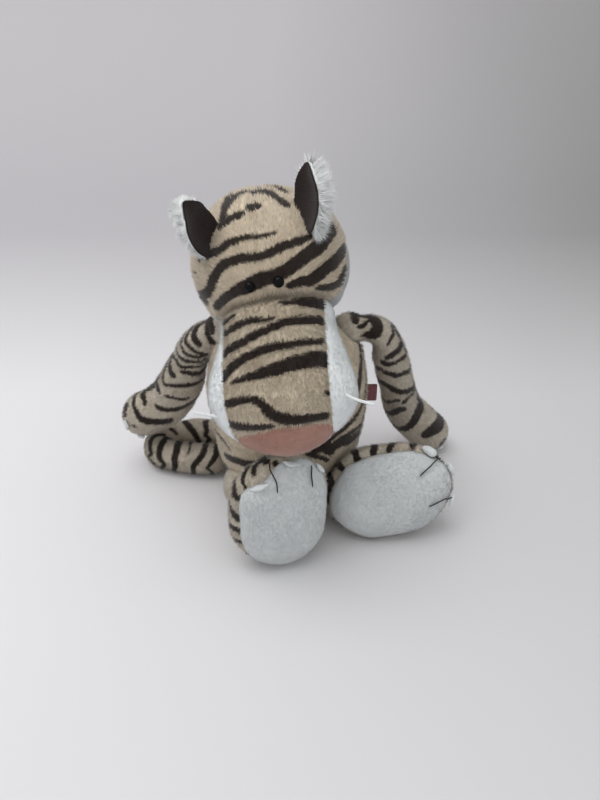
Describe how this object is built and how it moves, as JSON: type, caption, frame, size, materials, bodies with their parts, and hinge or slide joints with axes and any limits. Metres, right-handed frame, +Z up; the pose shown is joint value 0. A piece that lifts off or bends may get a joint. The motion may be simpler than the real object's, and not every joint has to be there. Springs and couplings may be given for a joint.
{
  "type": "plush tiger",
  "caption": "Seated floppy plush tiger with striped pile, long barrel muzzle, pink nose, filled limbs, white soles and a folded tail.",
  "frame": {"origin": "on the floor under the middle of the seat", "axes": "+Z up, the toy faces -Y and its own left side is +X"},
  "size_m": [0.2648, 0.1726, 0.251],
  "materials": {
    "striped_pile": "short plush pile, beige with dark brown tiger stripes",
    "white_pile": "short white plush pile",
    "pink_pile": "short pink plush pile",
    "dark_knit": "very dark brown short pile",
    "white_fur": "long white plush fur",
    "white_felt": "smooth white plush",
    "eye_bead": "glossy black bead",
    "nylon": "pressed nylon washer",
    "waxed_cord": "white waxed cord",
    "ribbon": "burgundy woven ribbon, plain",
    "fibre_filling": "white polyester fibre filling",
    "pellet_cloth": "cotton bag of plastic pellets"
  },
  "bodies": {
    "torso": {"body_skin": "striped_pile", "body_filling": "fibre_filling", "seat_pellet_bag": "pellet_cloth", "side_label": "ribbon"},
    "neck": {"neck_collar": "striped_pile", "neck_filling": "fibre_filling"},
    "head": {"right_crown": "striped_pile", "left_crown": "striped_pile", "nape_panel": "striped_pile", "right_jowl": "white_pile", "left_jowl": "white_pile", "muzzle_band": "striped_pile", "nose_patch": "pink_pile", "chin_panel": "white_pile", "right_cheek": "white_pile", "left_cheek": "white_pile", "head_filling": "fibre_filling", "right_eye": "eye_bead", "right_eye_washer": "nylon", "right_ear_front": "dark_knit", "right_ear_back": "white_fur", "right_whisker": "waxed_cord", "left_eye": "eye_bead", "left_eye_washer": "nylon", "left_ear_front": "dark_knit", "left_ear_back": "white_fur", "left_whisker": "waxed_cord"},
    "right_arm": {"right_arm_skin": "striped_pile", "right_arm_filling": "fibre_filling", "right_paw_claw_1": "white_felt", "right_paw_claw_2": "white_felt", "right_paw_claw_3": "white_felt"},
    "left_arm": {"left_arm_skin": "striped_pile", "left_arm_filling": "fibre_filling", "left_paw_claw_1": "white_felt", "left_paw_claw_2": "white_felt", "left_paw_claw_3": "white_felt"},
    "right_leg": {"right_leg_skin": "striped_pile", "right_sole": "white_pile", "right_leg_filling": "fibre_filling", "right_foot_claw_1": "white_felt", "right_foot_claw_2": "white_felt", "right_foot_claw_3": "white_felt"},
    "left_leg": {"left_leg_skin": "striped_pile", "left_sole": "white_pile", "left_leg_filling": "fibre_filling", "left_foot_claw_1": "white_felt", "left_foot_claw_2": "white_felt", "left_foot_claw_3": "white_felt"},
    "tail": {"tail_skin": "striped_pile", "tail_filling": "fibre_filling"}
  },
  "joints": [
    {"name": "neck_turn", "type": "hinge", "parent": "torso", "child": "neck", "pos_m": [-0.004, 0.012, 0.139], "axis": [0, 0, 1], "range_deg": [-20, 20]},
    {"name": "neck_nod", "type": "hinge", "parent": "neck", "child": "head", "pos_m": [-0.004, 0.012, 0.139], "axis": [-1, 0, 0], "range_deg": [0, 35]},
    {"name": "right_shoulder", "type": "hinge", "parent": "torso", "child": "right_arm", "pos_m": [-0.04322, 0.012, 0.126], "axis": [0, 1, 0], "range_deg": [0, 70]},
    {"name": "left_shoulder", "type": "hinge", "parent": "torso", "child": "left_arm", "pos_m": [0.04322, 0.012, 0.126], "axis": [0, -1, 0], "range_deg": [0, 70]},
    {"name": "right_hip", "type": "hinge", "parent": "torso", "child": "right_leg", "pos_m": [-0.026, -0.031, 0.0183], "axis": [0, 0, -1], "range_deg": [0, 25]},
    {"name": "left_hip", "type": "hinge", "parent": "torso", "child": "left_leg", "pos_m": [0.026, -0.031, 0.0183], "axis": [0, 0, 1], "range_deg": [0, 12]},
    {"name": "tail_swing", "type": "hinge", "parent": "torso", "child": "tail", "pos_m": [-0.03, 0.03, 0.0135], "axis": [0, 0, -1], "range_deg": [0, 30]}
  ]
}
